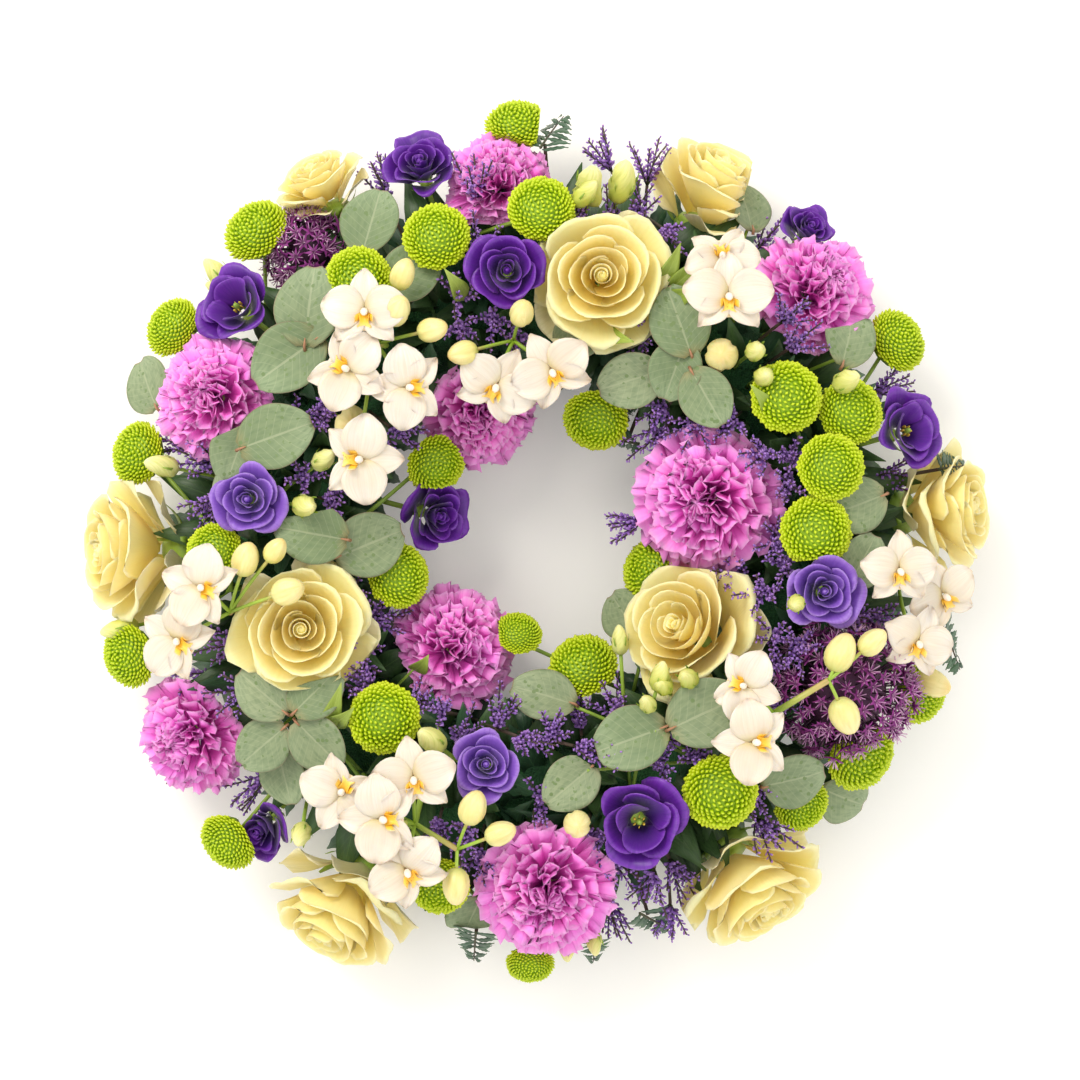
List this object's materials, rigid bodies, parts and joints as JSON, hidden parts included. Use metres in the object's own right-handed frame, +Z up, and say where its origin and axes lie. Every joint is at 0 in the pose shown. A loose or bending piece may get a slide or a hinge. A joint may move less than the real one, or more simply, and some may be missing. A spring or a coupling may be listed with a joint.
{
  "type": "funeral wreath",
  "caption": "Round funeral wreath of roses, carnations, lisianthus, moth orchids, button chrysanthemums, alliums, statice and eucalyptus standing in a foam ring in a flat tray.",
  "frame": {"origin": "under the middle of the wreath, on the surface that its tray lies on", "axes": "+Z up, out of the wreath's face; +X and +Y lie in the tray's base, with +Y towards the top of the wreath as it is seen from above"},
  "size_m": [0.4367, 0.4264, 0.1196],
  "materials": {
    "tray_plastic": "moulded dark green polystyrene, satin",
    "floral_foam": "wet open-cell phenolic foam, matt and granular",
    "rose_petal": "cream rose petal, velvety with a soft sheen",
    "carnation_petal": "orchid-pink carnation petal, matt and streaked",
    "lisianthus_petal": "deep violet lisianthus petal, silky",
    "allium_floret": "purple allium floret, matt",
    "santini_floret": "lime green button chrysanthemum floret, satin",
    "orchid_petal": "warm white moth orchid petal, waxy",
    "eucalyptus_leaf": "grey-green eucalyptus leaf with a waxy bloom",
    "statice_floret": "violet statice floret, papery",
    "fern_frond": "dark green leatherleaf fern, satin"
  },
  "bodies": {
    "root": {"tray": "tray_plastic", "foam_ring": "floral_foam", "rose_01": "rose_petal", "rose_02": "rose_petal", "rose_03": "rose_petal", "rose_04": "rose_petal", "rose_05": "rose_petal", "rose_06": "rose_petal", "rose_07": "rose_petal", "rose_08": "rose_petal", "rose_09": "rose_petal", "carnation_01": "carnation_petal", "carnation_02": "carnation_petal", "carnation_03": "carnation_petal", "carnation_04": "carnation_petal", "carnation_05": "carnation_petal", "carnation_06": "carnation_petal", "carnation_07": "carnation_petal", "carnation_08": "carnation_petal", "lisianthus_01": "lisianthus_petal", "lisianthus_02": "lisianthus_petal", "lisianthus_03": "lisianthus_petal", "lisianthus_04": "lisianthus_petal", "lisianthus_05": "lisianthus_petal", "lisianthus_06": "lisianthus_petal", "lisianthus_07": "lisianthus_petal", "lisianthus_08": "lisianthus_petal", "lisianthus_09": "lisianthus_petal", "lisianthus_10": "lisianthus_petal", "lisianthus_11": "lisianthus_petal", "allium_01": "allium_floret", "allium_02": "allium_floret", "santini_spray_01": "santini_floret", "santini_spray_02": "santini_floret", "santini_spray_03": "santini_floret", "santini_spray_04": "santini_floret", "santini_spray_05": "santini_floret", "santini_spray_06": "santini_floret", "santini_spray_07": "santini_floret", "santini_spray_08": "santini_floret", "santini_spray_09": "santini_floret", "orchid_spray_01": "orchid_petal", "orchid_spray_02": "orchid_petal", "orchid_spray_03": "orchid_petal", "orchid_spray_04": "orchid_petal", "orchid_spray_05": "orchid_petal", "orchid_spray_06": "orchid_petal", "orchid_spray_07": "orchid_petal", "eucalyptus_01": "eucalyptus_leaf", "eucalyptus_02": "eucalyptus_leaf", "eucalyptus_03": "eucalyptus_leaf", "eucalyptus_04": "eucalyptus_leaf", "eucalyptus_05": "eucalyptus_leaf", "eucalyptus_06": "eucalyptus_leaf", "statice_01": "statice_floret", "statice_02": "statice_floret", "statice_03": "statice_floret", "statice_04": "statice_floret", "fern_01": "fern_frond", "fern_02": "fern_frond"}
  },
  "joints": []
}
